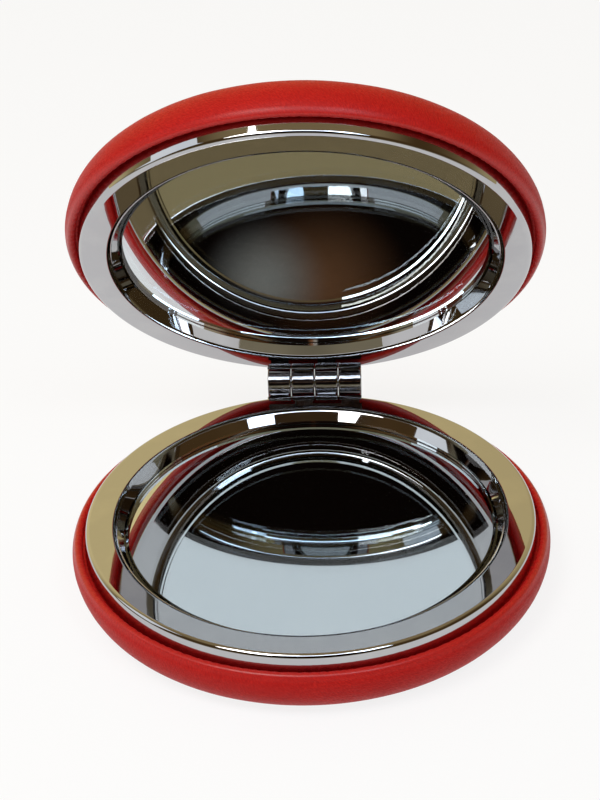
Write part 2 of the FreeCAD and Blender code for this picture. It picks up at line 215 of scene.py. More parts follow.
def raised(bench, shader, height, depth):
    """Relief of a real depth, where height runs from 0 to 1."""
    relief = bench.add("ShaderNodeBump", None, {"Height": height, "Distance": depth})
    bench.feed(shader.inputs["Normal"], relief)


# %% [markdown]
# ## Red leather-look cover
# The covers are a coated cloth with a fine pressed grain: short slanted streaks over small pebbles.
# The sheet was cut flat and pulled over the edge, so its grain is drawn in the flat sheet's own
# coordinates. The cover's tree stores those on the mesh, and the grain then runs over the edge as on
# the real thing. The grooves are darker and duller than the tops. Where the sheet is pulled tight over
# the fold it is a little glossier. Down in the gathered crease its grain is pressed out, and a lighter
# red is painted there: painted light that lifts the crease's shade.

# %% Sizes and tones of the grain
STREAK_LENGTH = 0.95 * MM
STREAK_WIDTH = 0.2 * MM
PEBBLE = 0.4 * MM
MOTTLE = 9 * MM
GRAIN_DEPTH = 0.026 * MM
GROOVE_TONES = (0.36, 0.005, 0.005, 1), (0.42, 0.007, 0.006, 1)
TOP_TONES = (0.52, 0.013, 0.01, 1), (0.6, 0.018, 0.012, 1)
# Painted light: a lighter red that lifts the shade down in the gathered crease.
CREASE_PAINTED_LIGHT = (0.64, 0.006, 0.008, 1)
FOLD_GLOSS = 0.6
STREAK_RAMP = 0.36, 0.64
PEBBLE_RAMP = 0.0, 0.28
CREASE_RAMP = 0.4, 1.0
STREAK_SHARE = 0.65
PEBBLE_SHARE = 0.35
PEBBLE_UNEVENNESS = 0.9
MOTTLE_DETAIL = 3.0
GROOVE_ROUGHNESS = 0.5
GRAIN_GLOSS = 0.12
MOTTLE_ROUGHNESS = 0.06


# %% Leather-look finish
def leather_look():
    fixed = {"IOR": 1.45, "Specular_IOR_Level": 0.14, "Coat_Roughness": 0.32}
    material, bench, shader = finish("red_leather_look", **fixed)
    sheet = bench.add("ShaderNodeAttribute", {"attribute_name": "sheet"}, None, "Vector")
    gathered = bench.add("ShaderNodeAttribute", {"attribute_name": "gathered"}, None, "Fac")
    folded = bench.add("ShaderNodeAttribute", {"attribute_name": "folded"}, None, "Fac")
    across, along, _ = bench.parts(sheet)
    slanted = {"X": (across + along) / STREAK_LENGTH, "Y": (across - along) / STREAK_WIDTH}
    streak = bench.cloud(bench.add("ShaderNodeCombineXYZ", None, slanted), 1.0)
    cell = {"Vector": sheet, "Scale": 1 / PEBBLE, "Randomness": PEBBLE_UNEVENNESS}
    edge = bench.add("ShaderNodeTexVoronoi", {"feature": "DISTANCE_TO_EDGE"}, cell, "Distance")
    grain = bench.step(streak, *STREAK_RAMP) * STREAK_SHARE + bench.step(edge, *PEBBLE_RAMP) * PEBBLE_SHARE
    mottle = bench.cloud(sheet, MOTTLE, MOTTLE_DETAIL)
    colour = bench.mixed(grain, bench.mixed(mottle, *GROOVE_TONES), bench.mixed(mottle, *TOP_TONES))
    # Painted light: the gathered crease gets one flat, lighter red that lifts its shade.
    crease_painted_light = bench.step(gathered, *CREASE_RAMP)
    bench.feed(shader.inputs["Base Color"], bench.mixed(crease_painted_light, colour, CREASE_PAINTED_LIGHT))
    roughness = GROOVE_ROUGHNESS - grain * GRAIN_GLOSS + mottle * MOTTLE_ROUGHNESS
    bench.feed(shader.inputs["Roughness"], roughness)
    bench.feed(shader.inputs["Coat Weight"], folded * FOLD_GLOSS)
    raised(bench, shader, grain, GRAIN_DEPTH)
    return material


RED = leather_look()
print("made", RED.name)

# %% [markdown]
# ## Chrome
# The pans and the hinge are bright plated. Chrome is darker than silver, here about half of the
# light comes back, and pressed sheet is never quite flat: a very shallow waviness bends the
# reflections, and fingers leave a faint haze that only shows as a change of roughness. The hinge is
# curled from the same sheet, so it is lumpier and duller than the pressed pans.


# %% Chrome finish
HAZE = 6 * MM
HAZE_DETAIL = 4.0
HAZE_RAMP = 0.45, 0.75
HAZE_ROUGHNESS = 0.03
PAN_TONES = (0.45, 0.45, 0.465, 1), (0.48, 0.48, 0.49, 1)
HINGE_TONES = (0.34, 0.34, 0.35, 1), (0.45, 0.45, 0.46, 1)


def chrome(name, dull, bright, rough, lump, depth):
    """Plate whose haze lies between two tones, on sheet with lumps of a real size and depth."""
    material, bench, shader = finish(name, Metallic=1.0)
    place = object_place(bench)
    haze = bench.step(bench.cloud(place, HAZE, HAZE_DETAIL), *HAZE_RAMP)
    bench.feed(shader.inputs["Base Color"], bench.mixed(haze, dull, bright))
    bench.feed(shader.inputs["Roughness"], rough + haze * HAZE_ROUGHNESS)
    raised(bench, shader, bench.cloud(place, lump, detail=1.0), depth)
    return material


CHROME = chrome("bright_chrome", *PAN_TONES, rough=0.02, lump=3.5 * MM, depth=0.004 * MM)
HINGE_CHROME = chrome("hinge_chrome", *HINGE_TONES, rough=0.1, lump=1.3 * MM, depth=0.03 * MM)
print("made", CHROME.name, "and", HINGE_CHROME.name)

# %% [markdown]
# ## Mirror glass and its silver
# A mirror is clear glass with a coat of silver behind it. Light goes in, turns at the silver and
# comes out again, which is what gives the thin dark line and the bright bevel at the rim. So the glass
# is real glass here, and only its back face is silver. Dust is a few specks that lie on the glass.


# %% Glass and silver finishes
GLASS_TINT = (0.95, 0.975, 0.965, 1)
SPECK_SPACING = 5.5 * MM
SPECK_RIM = 0.012, 0.02
SPECK_COVER = 0.8
DUST_TONE = (0.75, 0.74, 0.72, 1)
VEIL = 14 * MM
VEIL_ROUGHNESS = 0.012
SILVER_TONES = (0.70, 0.745, 0.79, 1), (0.73, 0.77, 0.81, 1)


def glass():
    clear = {"Transmission_Weight": 1.0, "Roughness": 0.0, "IOR": 1.52, "Base_Color": GLASS_TINT}
    material, bench, shader = finish("mirror_glass", **clear)
    spot = {"Vector": object_place(bench), "Scale": 1 / SPECK_SPACING, "Randomness": 1.0}
    speck = bench.add("ShaderNodeTexVoronoi", None, spot, "Distance")
    lies = SPECK_COVER - bench.step(speck, *SPECK_RIM) * SPECK_COVER
    dust = bench.add("ShaderNodeBsdfDiffuse", None, {"Color": DUST_TONE})
    clear_wire = Wire(bench, shader.outputs["BSDF"])
    dusty = bench.add("ShaderNodeMixShader", None, {0: lies, 1: clear_wire, 2: dust})
    bench.feed(material.node_tree.nodes["Material Output"].inputs["Surface"], dusty)
    return material


def silver():
    material, bench, shader = finish("mirror_silver", Metallic=1.0)
    veil = bench.cloud(object_place(bench), VEIL)
    bench.feed(shader.inputs["Base Color"], bench.mixed(veil, *SILVER_TONES))
    bench.feed(shader.inputs["Roughness"], veil * VEIL_ROUGHNESS)
    return material


GLASS = glass()
SILVER = silver()
print("made", GLASS.name, "and", SILVER.name)

# %% [markdown]
# ## Finishes that are hidden inside
# The pieces under the cover show only when someone takes the model apart, but they still get what
# they are made of: drawn steel for the pin, moulded plastic, glue film, tape, mirror paint and foam.


# %% Plain finishes with a little life
TONE_DETAIL = 4.0
TONE_MIDDLE = 0.5
TONE_ROUGHNESS = 0.2


def plain(name, low, high, lump, depth, rough, **constants):
    """A finish whose colour runs between two tones over lumps of a real size."""
    material, bench, shader = finish(name, **constants)
    tone = bench.cloud(object_place(bench), lump, TONE_DETAIL)
    bench.feed(shader.inputs["Base Color"], bench.mixed(tone, low, high))
    bench.feed(shader.inputs["Roughness"], rough + (tone - TONE_MIDDLE) * TONE_ROUGHNESS)
    raised(bench, shader, tone, depth)
    return material


STEEL_TONES = (0.5, 0.5, 0.52, 1), (0.62, 0.62, 0.63, 1)
PLASTIC_TONES = (0.012, 0.012, 0.014, 1), (0.02, 0.02, 0.022, 1)
GLUE_TONES = (0.55, 0.50, 0.38, 1), (0.66, 0.62, 0.5, 1)
PAINT_TONES = (0.16, 0.17, 0.19, 1), (0.22, 0.23, 0.25, 1)
FOAM_TONES = (0.62, 0.58, 0.48, 1), (0.82, 0.79, 0.7, 1)
STEEL = plain("drawn_steel", *STEEL_TONES, lump=0.5 * MM, depth=0.003 * MM, rough=0.25, Metallic=1.0)
PLASTIC = plain("moulded_plastic", *PLASTIC_TONES, lump=0.6 * MM, depth=0.01 * MM, rough=0.5)
GLUE = plain("glue_film", *GLUE_TONES, lump=2 * MM, depth=0.02 * MM, rough=0.35)
PAINT = plain("mirror_paint", *PAINT_TONES, lump=1.2 * MM, depth=0.006 * MM, rough=0.6)
FOAM = plain("foam", *FOAM_TONES, lump=0.5 * MM, depth=0.15 * MM, rough=0.9)
print("made", [material.name for material in (STEEL, PLASTIC, GLUE, PAINT, FOAM)])

# %% [markdown]
# ## Turning a section
# Nearly everything here is round, so a shape is its section turned about an axis. A geometry tree
# sweeps the section round a circle, which is one rule for every such piece. It welds the points that
# meet on the axis, so that each piece is closed.

# %% The turning tree
POLE_WELD = 0.0005 * MM


def geometry_bench(name, inputs):
    """A geometry tree with named inputs, given as socket type and first value."""
    tree = bpy.data.node_groups.new(name, "GeometryNodeTree")
    tree.interface.new_socket("Geometry", in_out="INPUT", socket_type="NodeSocketGeometry")
    for label, (kind, value) in inputs.items():
        tree.interface.new_socket(label, in_out="INPUT", socket_type=kind).default_value = value
    tree.interface.new_socket("Geometry", in_out="OUTPUT", socket_type="NodeSocketGeometry")
    bench = Bench(tree)
    entry = tree.nodes.new("NodeGroupInput")
    return bench, {output.name: Wire(bench, output) for output in entry.outputs if output.name}


def turn(bench, section, segments):
    """Sweep a section, drawn in X and Z, round the Z axis."""
    across, _, up = bench.parts(bench.add("GeometryNodeInputPosition"))
    flat = bench.add("ShaderNodeCombineXYZ", None, {"X": across - COVER_RADIUS, "Y": 0 - up})
    laid = bench.add("GeometryNodeSetPosition", None, {"Geometry": section, "Position": flat})
    profile = bench.add("GeometryNodeMeshToCurve", None, {"Mesh": laid})
    ring = {"Resolution": segments, "Radius": COVER_RADIUS}
    circle = bench.add("GeometryNodeCurvePrimitiveCircle", None, ring)
    upright = bench.add("GeometryNodeSetCurveNormal", {"mode": "Z_UP"}, {"Curve": circle})
    swept = bench.add("GeometryNodeCurveToMesh", None, {"Curve": upright, "Profile Curve": profile})
    return bench.add("GeometryNodeMergeByDistance", None, {"Geometry": swept, "Distance": POLE_WELD})


def close_tree(bench, mesh, material):
    """Every tree ends in plain geometry with its finish on it."""
    solid = bench.add("GeometryNodeRealizeInstances", None, {"Geometry": mesh})
    done = bench.add("GeometryNodeSetMaterial", None, {"Geometry": solid, "Material": material})
    bench.feed(bench.tree.nodes.new("NodeGroupOutput").inputs[0], done)


# %% A plain turned piece
def turning_tree():
    bench, given = geometry_bench("turned piece", {
        "Segments": ("NodeSocketInt", 256),
        "Finish": ("NodeSocketMaterial", None),
    })
    close_tree(bench, turn(bench, given["Geometry"], given["Segments"]), given["Finish"])
    return bench.tree


TURNED = turning_tree()
print("tree:", TURNED.name, "with", len(TURNED.nodes), "nodes")

# %% [markdown]
# ## From a section to a piece
# A section is a chain of points, each a radius and a height. Extra numbers on the points, such as
# where the hem is gathered, ride along as attributes that a tree can read. The tree's result becomes
# a plain mesh, goes to its half's place, and its volume tells whether its faces point outwards.

# %% Draw a section and run a tree on it
SHARP = math.radians(38)


def drawn(name, section, attributes):
    """A chain of edges through the points of a section."""
    mesh = bpy.data.meshes.new(name)
    edges = [(number, number + 1) for number in range(len(section) - 1)]
    mesh.from_pydata([(radius, 0, height) for radius, height in section], edges, [])
    for label, values in attributes.items():
        mesh.attributes.new(label, "FLOAT", "POINT").data.foreach_set("value", values)
    return mesh


def made(name, half, section, tree, inputs, attributes=None):
    """A piece grown from a section by a tree, in the place of its half."""
    piece = bpy.data.objects.new(name, drawn(name, section, attributes or {}))
    scene.collection.objects.link(piece)
    modifier = piece.modifiers.new("grown", "NODES")
    modifier.node_group = tree
    for socket in tree.interface.items_tree:
        if socket.name in inputs:
            modifier[socket.identifier] = inputs[socket.name]
    depsgraph = bpy.context.evaluated_depsgraph_get()
    mesh = bpy.data.meshes.new_from_object(piece.evaluated_get(depsgraph), depsgraph=depsgraph)
    piece.modifiers.remove(modifier)
    piece.data = mesh
    mesh.transform(PLACES[half])
    mesh.shade_smooth()
    mesh.set_sharp_from_angle(angle=SHARP)
    solid = bmesh.new()
    solid.from_mesh(mesh)
    volume = solid.calc_volume(signed=True)
    open_edges = sum(not edge.is_manifold for edge in solid.edges)
    solid.free()
    print(name, len(mesh.polygons), "faces,", round(volume / MM ** 3), "mm3, open edges:", open_edges)
    return piece


# %% Points along an arc
def arc(centre, radius, first, last, steps):
    """Points along an arc of a section, by angles from straight out towards up."""
    turns = [first + (last - first) * step / steps for step in range(steps + 1)]
    return [(centre[0] + radius * math.cos(a), centre[1] + radius * math.sin(a)) for a in turns]


def run(start, end, steps):
    """Points along a straight run, without its first one."""
    shares = [step / steps for step in range(1, steps + 1)]
    return [tuple(a + (b - a) * share for a, b in zip(start, end)) for share in shares]


# %% [markdown]
# ## The padded cover's section
# Seen in section, the cover is a chain of arcs that run into each other: a flat or gently crowned
# outside, a full round band, a flank that leans in, and the tight fold where the material is rolled
# over and turned in under the chrome. Its thickness is followed inside, so the piece is a real skin
# with a hollow for the foam.

# %% Sizes of the fold
SKIN = 0.7 * MM
ROLL_RADIUS = 0.62 * MM
FLANK_SWELL = 0.33 * MM
FLANK_HEIGHT = 1.28 * MM
HEM_RADIUS = 29.6 * MM
CROWNS = {"base": 0.0, "lid": 0.8 * MM}
HEM_TOP = HEM_UNDER + SKIN
ROLL = (COVER_RADIUS - FLANK_SWELL - ROLL_RADIUS, ROLL_TOP - ROLL_RADIUS)
WIDEST = ROLL[1] - FLANK_HEIGHT
BAND = (COVER_RADIUS - WIDEST, WIDEST)
fold_run = ROLL_RADIUS + FLANK_SWELL
FLANK_RADIUS = (fold_run ** 2 + FLANK_HEIGHT ** 2 - ROLL_RADIUS ** 2) / (2 * FLANK_SWELL)
FLANK = (COVER_RADIUS - FLANK_RADIUS, WIDEST)
LEAN = math.atan2(FLANK_HEIGHT, ROLL[0] - FLANK[0])
print("flank radius", round(FLANK_RADIUS / MM, 2), "mm, widest at", round(WIDEST / MM, 2), "mm")


# %% The outside at any depth in the material
def outside(crown, depth, top, fine):
    """From the middle of the outside to the angle top on the flank, at a depth in the material."""
    steps = {"middle": 5 * fine, "band": 8 * fine, "flank": 4 * fine}
    if crown:
        reach = (BAND[0] ** 2 / crown + crown) / 2
        dome = (0.0, WIDEST + reach - crown)
        tuck = math.asin(BAND[0] / reach)
        low = -math.pi / 2 + tuck
        middle = arc(dome, reach + WIDEST - depth, -math.pi / 2, low, steps["middle"])
    else:
        low = -math.pi / 2
        middle = [(0.0, depth)] + run((0.0, depth), (BAND[0], depth), steps["middle"])
    band = arc(BAND, WIDEST - depth, low, 0.0, steps["band"])[1:]
    flank = arc(FLANK, FLANK_RADIUS - depth, 0.0, top, steps["flank"])[1:]
    return middle + band + flank


def flank_angle(depth, height):
    return math.asin((height - WIDEST) / (FLANK_RADIUS - depth))


# %% [markdown]
# ## Gathers, slack and the flat sheet
# A round cover turned in over a rim has too much material at its edge, so it is gathered: small
# uneven pleats all the way round, deepest in the crease beside the chrome. The cover's tree turns
# the section, draws the pleats from a wave whose beat drifts with noise, lets the padding be a hair
# uneven, and stores where each point lay on the flat sheet for the grain.


# %% The cover's tree
DRIFT_LUMP = 4 * MM
DRIFT = 9.0
CREASE_LUMP = 7 * MM
CREASE_LEAST = 0.35
CREASE_RANGE = 1.3
PUFF_LUMP = 11 * MM
PUFF_MIDDLE = 0.5


def cover_tree():
    bench, given = geometry_bench("padded cover", {
        "Segments": ("NodeSocketInt", 720),
        "Pleats": ("NodeSocketFloat", 88.0),
        "Pleat depth": ("NodeSocketFloat", 0.0),
        "Slack": ("NodeSocketFloat", 0.0),
        "Finish": ("NodeSocketMaterial", None),
    })
    skin = turn(bench, given["Geometry"], given["Segments"])
    place = bench.add("GeometryNodeInputPosition")
    x, y, _ = bench.parts(place)
    angle = bench.add("ShaderNodeMath", {"operation": "ARCTAN2"}, {0: y, 1: x})
    gathered, soft, along = [
        bench.add("GeometryNodeInputNamedAttribute", {"data_type": "FLOAT"}, {"Name": label}, "Attribute")
        for label in ("gathered", "soft", "along")
    ]
    drift = bench.cloud(place, DRIFT_LUMP) * DRIFT
    wave = bench.add("ShaderNodeMath", {"operation": "SINE"}, {0: angle * given["Pleats"] / 2 + drift})
    crease = (1 - abs(wave)) * (CREASE_LEAST + bench.cloud(place, CREASE_LUMP) * CREASE_RANGE)
    puff = (bench.cloud(place, PUFF_LUMP) - PUFF_MIDDLE) * given["Slack"] * soft
    move = puff - crease * given["Pleat depth"] * gathered
    normal = bench.add("GeometryNodeInputNormal")
    along_normal = {"Vector": normal, "Scale": move}
    offset = bench.add("ShaderNodeVectorMath", {"operation": "SCALE"}, along_normal, "Vector")
    cosine = bench.add("ShaderNodeMath", {"operation": "COSINE"}, {0: angle})
    sine = bench.add("ShaderNodeMath", {"operation": "SINE"}, {0: angle})
    sheet = bench.add("ShaderNodeCombineXYZ", None, {"X": along * cosine, "Y": along * sine})
    stored = {"Geometry": skin, "Name": "sheet", "Value": sheet}
    marked = bench.add("GeometryNodeStoreNamedAttribute", {"data_type": "FLOAT_VECTOR"}, stored)
    shaped = bench.add("GeometryNodeSetPosition", None, {"Geometry": marked, "Offset": offset})
    close_tree(bench, shaped, given["Finish"])
    return bench.tree


COVER = cover_tree()
print("tree:", COVER.name, "with", len(COVER.nodes), "nodes")

# %% [markdown]
# ## The two covers
# The section starts at the middle of the inside, goes out under the hem, over the fold and back along
# the outside, so that every face points away from the material. The pleats grow over the top of the
# fold and fade under the chrome. The gloss lies on the ridge of the fold and fades down the flank. The
# flat that the base stands on stays flat.


# %% The covers' section
ROLL_STEPS = 16
HEM_STEPS = 2
TOP_STEPS = 5
CREASE_STEPS = 3
GATHER_FADE = 1.5
RIDGE_START = 7
RIDGE_RISE = 6
RIDGE_FADE = 4
ROLL_SOFTNESS = 0.5


def cover_section(crown):
    """Points of the skin, with how much each is gathered, folded and soft."""
    inside = outside(crown, SKIN, flank_angle(SKIN, HEM_UNDER), 1)
    hem = run(inside[-1], (HEM_RADIUS, HEM_UNDER), HEM_STEPS) + [(HEM_RADIUS, HEM_TOP)]
    roll = arc(ROLL, ROLL_RADIUS, math.pi, LEAN, ROLL_STEPS)
    crease = (roll[0][0], HEM_TOP)
    top = run(hem[-1], crease, TOP_STEPS) + run(crease, roll[0], CREASE_STEPS)
    outer = outside(crown, 0.0, LEAN, 2)[::-1][1:]
    points = inside + hem + top + roll[1:] + outer
    gathered = [0.0] * len(inside + hem)
    gathered += [share / len(top) for share in range(1, len(top) + 1)]
    gathered += [(1 - step / (ROLL_STEPS - 1)) ** GATHER_FADE for step in range(ROLL_STEPS)]
    gathered += [0.0] * len(outer)
    folded = [0.0] * len(inside + hem + top)
    folded += [max(0.0, min(1.0, (step - RIDGE_START) / RIDGE_RISE)) for step in range(1, ROLL_STEPS + 1)]
    folded += [max(0.0, 1 - step / RIDGE_FADE) for step in range(1, len(outer) + 1)]
    soft = [0.0] * len(inside + hem + top)
    soft += [ROLL_SOFTNESS] * ROLL_STEPS
    soft += [min(1.0, height / WIDEST) if not crown else 1.0 for radius, height in outer]
    return points, gathered, folded, soft


def sheet_length(points):
    """How far each point lies from the middle of the outside, along the section."""
    lengths = [0.0]
    for here, before in zip(points[-2::-1], points[:0:-1]):
        lengths.append(lengths[-1] + math.dist(here, before))
    return lengths[::-1]


# %% Make the covers
wanted = {"Segments": 1080, "Pleats": 150.0, "Pleat depth": 0.13 * MM, "Slack": 0.12 * MM, "Finish": RED}
covers = {}
for half, crown in CROWNS.items():
    points, gathered, folded, soft = cover_section(crown)
    extra = {"gathered": gathered, "folded": folded, "soft": soft, "along": sheet_length(points)}
    covers[half] = made(f"{half}_padded_cover", half, points, COVER, wanted, extra)

# %% [markdown]
# ## Foam pads
# Between skin and shell lies the foam that makes the cover soft. It fills the same section a little
# deeper in, beside and under the backing shell.

# %% Make the foam pads
FOAM_CLEARANCE = 0.1 * MM
FOAM_FLOOR_STEPS = 12
FOAM_WALL_STEPS = 3
foam_depth = SKIN + FOAM_CLEARANCE
beside_shell = SHELL_RADIUS + FOAM_CLEARANCE
foams = {}
for half, crown in CROWNS.items():
    under = outside(crown, foam_depth, flank_angle(foam_depth, SHELL_TOP), 1)
    inner = run((0.0, SHELL_UNDER), (beside_shell, SHELL_UNDER), FOAM_FLOOR_STEPS)
    wall = run(inner[-1], (beside_shell, SHELL_TOP), FOAM_WALL_STEPS)
    pad = [(0.0, SHELL_UNDER)] + inner + wall + under[::-1]
    foams[half] = made(f"{half}_foam", half, pad, TURNED, {"Segments": 256, "Finish": FOAM})

# %% [markdown]
# ## Chrome pans
# A pan is pressed from one sheet: a well for the mirror, a sloping side with a rounded lip, a flat
# ledge and a wall that leans out a little. Polished metal shows every facet, so each pan is turned
# here from the same sizes with many more facets than its solid has. Its tree also cuts the notch that
# lets the hinge's leaf through the wall. Two points close to the ends of a straight run keep the
# rounding from bending the reflections on the flat beside it.

# %% Sizes of the pan
FOOT = HEM_TOP
FOOT_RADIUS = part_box("base_frame")[1].x
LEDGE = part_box("base_frame")[1].z
WELL_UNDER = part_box("base_frame")[0].z
WELL_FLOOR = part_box("base_mirror_tape")[0].z
LEAF_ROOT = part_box("base_hinge_leaf")[0].y
LEAF_HALF_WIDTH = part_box("base_hinge_leaf")[1].x
SHEET = WELL_FLOOR - WELL_UNDER
GLASS_CLEARANCE = 0.1 * MM
WALL_RUN = 0.45 * MM
WELL_RADIUS = GLASS_RADIUS + GLASS_CLEARANCE
LEDGE_RADIUS = FOOT_RADIUS - WALL_RUN
BEVEL_RUN = 1.35 * MM
LIP_ROUND = 1.0 * MM
EDGE_ROUND = 0.7 * MM
NOTCH_CLEARANCE = 0.15 * MM
UPRIGHT = math.pi / 2
SLOPE = math.atan2(LEDGE - GLASS_TOP, BEVEL_RUN)
WALL_LEAN = math.atan2(FOOT_RADIUS - LEDGE_RADIUS, LEDGE - FOOT)
LIP = (WELL_RADIUS + BEVEL_RUN + LIP_ROUND * math.tan(SLOPE / 2), LEDGE - LIP_ROUND)
EDGE = (LEDGE_RADIUS - EDGE_ROUND * math.tan((UPRIGHT - WALL_LEAN) / 2), LEDGE - EDGE_ROUND)
print("sheet", round(SHEET / MM, 2), "mm, ledge", round((EDGE[0] - LIP[0]) / MM, 2), "mm wide")


# %% The pan's section
HOLD_STEPS = 50
PAN_STEPS = {"floor": 4, "well": 2, "lip": 14, "edge": 22, "under lip": 6}


def held(start, end):
    """A straight run whose ends are held flat, without its first point."""
    points = run(start, end, HOLD_STEPS)
    return [points[0], points[HOLD_STEPS // 2 - 1], points[-2], points[-1]]


def pan_section():
    """Points of the pressed sheet, along its top and back along its underside."""
    well = [(0.0, WELL_FLOOR)] + run((0.0, WELL_FLOOR), (WELL_RADIUS, WELL_FLOOR), PAN_STEPS["floor"])
    well += run(well[-1], (WELL_RADIUS, GLASS_TOP), PAN_STEPS["well"])
    lip = arc(LIP, LIP_ROUND, UPRIGHT + SLOPE, UPRIGHT, PAN_STEPS["lip"])
    edge = arc(EDGE, EDGE_ROUND, UPRIGHT, WALL_LEAN, PAN_STEPS["edge"])
    top = held(well[-1], lip[0]) + lip[1:] + held(lip[-1], edge[0]) + edge[1:]
    wall = held(edge[-1], (FOOT_RADIUS, FOOT))
    wall += [(FOOT_RADIUS - SHEET, FOOT), (LEDGE_RADIUS - SHEET, LEDGE - SHEET)]
    under_lip = arc(LIP, LIP_ROUND - SHEET, UPRIGHT, UPRIGHT + SLOPE, PAN_STEPS["under lip"])
    well_outside = WELL_RADIUS + SHEET
    drop = (under_lip[-1][0] - WELL_RADIUS - SHEET) * math.tan(SLOPE)
    under = [(well_outside, under_lip[-1][1] - drop), (well_outside, WELL_UNDER), (0.0, WELL_UNDER)]
    return well + top + wall + under_lip + under


# %% The pan's tree
def pan_tree():
    bench, given = geometry_bench("pressed pan", {
        "Segments": ("NodeSocketInt", 720),
        "Notch width": ("NodeSocketFloat", 0.0),
        "Notch root": ("NodeSocketFloat", 0.0),
        "Notch low": ("NodeSocketFloat", 0.0),
        "Notch high": ("NodeSocketFloat", 0.0),
        "Finish": ("NodeSocketMaterial", None),
    })
    pan = turn(bench, given["Geometry"], given["Segments"])
    low, high, root = given["Notch low"], given["Notch high"], given["Notch root"]
    size = bench.add("ShaderNodeCombineXYZ", None, {"X": given["Notch width"], "Y": root, "Z": high - low})
    middle = bench.add("ShaderNodeCombineXYZ", None, {"Y": root + root / 2, "Z": (high + low) / 2})
    block = bench.add("GeometryNodeMeshCube", None, {"Size": size})
    placed = bench.add("GeometryNodeTransform", None, {"Geometry": block, "Translation": middle})
    both = {"Mesh 1": pan, "Mesh 2": placed}
    cut = bench.add("GeometryNodeMeshBoolean", {"operation": "DIFFERENCE"}, both)
    close_tree(bench, cut, given["Finish"])
    return bench.tree


# %% Make the pans
PAN = pan_tree()
pressed = {
    "Segments": 720,
    "Notch width": 2 * (LEAF_HALF_WIDTH + NOTCH_CLEARANCE),
    "Notch root": LEAF_ROOT,
    "Notch low": FOOT - SHEET,
    "Notch high": LEDGE - SHEET,
    "Finish": CHROME,
}
pans = {}
for half in PLACES:
    pans[half] = made(f"{half}_pan", half, pan_section(), PAN, pressed)

# %% [markdown]
# ## Mirrors
# Each mirror is a disc with a narrow ground bevel. It is turned like the rest, and then the faces of
# its back inside the silvered circle get the silver. A painted coat lies behind, a hair lower, so that
# two faces never share a plane. The tape is taken not to hold the glass quite level: it leans up by
# about half a degree towards the hinge, which moves what one mirror shows of the other.

# %% Make the mirrors
BEVEL = 0.3 * MM
COAT_GAP = 0.01 * MM
FACE_STEPS = 6
MIRROR_LEAN = math.radians(0.45)
lean = Matrix.Rotation(MIRROR_LEAN, 4, "X")
lean.translation.z = GLASS_RADIUS * math.sin(MIRROR_LEAN) + GLASS_UNDER * (1 - math.cos(MIRROR_LEAN))
mirrors = {}
coats = {}
for half in PLACES:
    disc = [(0.0, GLASS_TOP)] + run((0.0, GLASS_TOP), (GLASS_RADIUS - BEVEL, GLASS_TOP), FACE_STEPS)
    disc += [(GLASS_RADIUS, GLASS_TOP - BEVEL), (GLASS_RADIUS, GLASS_UNDER), (SILVER_RADIUS, GLASS_UNDER)]
    disc += run(disc[-1], (0.0, GLASS_UNDER), FACE_STEPS)
    mirror = made(f"{half}_mirror", half, disc, TURNED, {"Segments": 256, "Finish": GLASS})
    mirror.data.materials.append(SILVER)
    home = PLACES[half].inverted()
    for face in mirror.data.polygons:
        middle = home @ face.center
        is_back = middle.z < GLASS_UNDER + POLE_WELD and middle.xy.length < SILVER_RADIUS
        face.material_index = 1 if is_back else 0
    settle = PLACES[half] @ lean @ home
    mirror.data.transform(settle)
    mirrors[half] = mirror
    coat = [(0.0, GLASS_UNDER - COAT_GAP), (SILVER_RADIUS, GLASS_UNDER - COAT_GAP)]
    coat += [(SILVER_RADIUS, SILVER_UNDER), (0.0, SILVER_UNDER)]
    coats[half] = made(f"{half}_mirror_coat", half, coat, TURNED, {"Segments": 128, "Finish": PAINT})
    coats[half].data.transform(settle)

# %% [markdown]
# ## Finishes on the solids that stay
# The hinge leaves, pin, shells, glue and tape already have the right shape, so only their material
# slots change.

# %% Dress the solids
DRESS = {"hinge_leaf": HINGE_CHROME, "backing_shell": PLASTIC, "shell_glue": GLUE, "hem_glue": GLUE,
         "mirror_tape": GLUE}
for half in PLACES:
    for name, material in DRESS.items():
        nodes[f"{half}_{name}"].material_slots[0].material = material
nodes["hinge_pin"].material_slots[0].material = STEEL
print("dressed", len(DRESS) * len(PLACES) + 1, "solids")

# %% [markdown]
# ## Who rides on what
# Every made piece is tied to the half it moves with, and the solids that it stands for are hidden.

# %% Tie the pieces to the frame
for half in PLACES:
    pieces = {
        covers[half]: ("red_cover", "cover_skin"),
        foams[half]: ("foam", "foam_pad"),
        pans[half]: ("chrome_plate", "frame"),
        mirrors[half]: ("clear_glass", "mirror_glass"),
        coats[half]: ("mirror_silver", "mirror_silver"),
    }
    for piece, (slot, solid) in pieces.items():
        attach(piece, half)
        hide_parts(f"{half}_{solid}")
    print(half, "carries", [piece.name for piece in pieces])

# %% [markdown]
# ## Floor
# A plain pale floor. It is nearly white to the eye and in the chrome, and still takes a soft shadow,
# because a share of what is seen is the lit floor and the rest is an even white.

# %% Make the floor
FLOOR_REACH = 4.0
FLOOR_DROP = 0.02 * MM
EVEN_WHITE_SHARE = 0.85
FLOOR_TONE = (0.9, 0.9, 0.9, 1)
WHITE = (1, 1, 1, 1)


def floor_finish():
    material, bench, shader = finish("pale_floor", Roughness=0.9, Specular_IOR_Level=0.1)
    shader.inputs["Base Color"].default_value = FLOOR_TONE
    path = bench.tree.nodes.new("ShaderNodeLightPath")
    seen = [Wire(bench, path.outputs[f"Is {ray} Ray"]) for ray in ("Camera", "Glossy", "Transmission")]
    any_seen = seen[0].worked("MAXIMUM", seen[0], seen[1].worked("MAXIMUM", seen[1], seen[2]))
    white = bench.add("ShaderNodeEmission", None, {"Color": WHITE, "Strength": 1.0})
    lit = Wire(bench, shader.outputs["BSDF"])
    blend = bench.add("ShaderNodeMixShader", None, {0: any_seen * EVEN_WHITE_SHARE, 1: lit, 2: white})
    bench.feed(bench.tree.nodes["Material Output"].inputs["Surface"], blend)
    return material


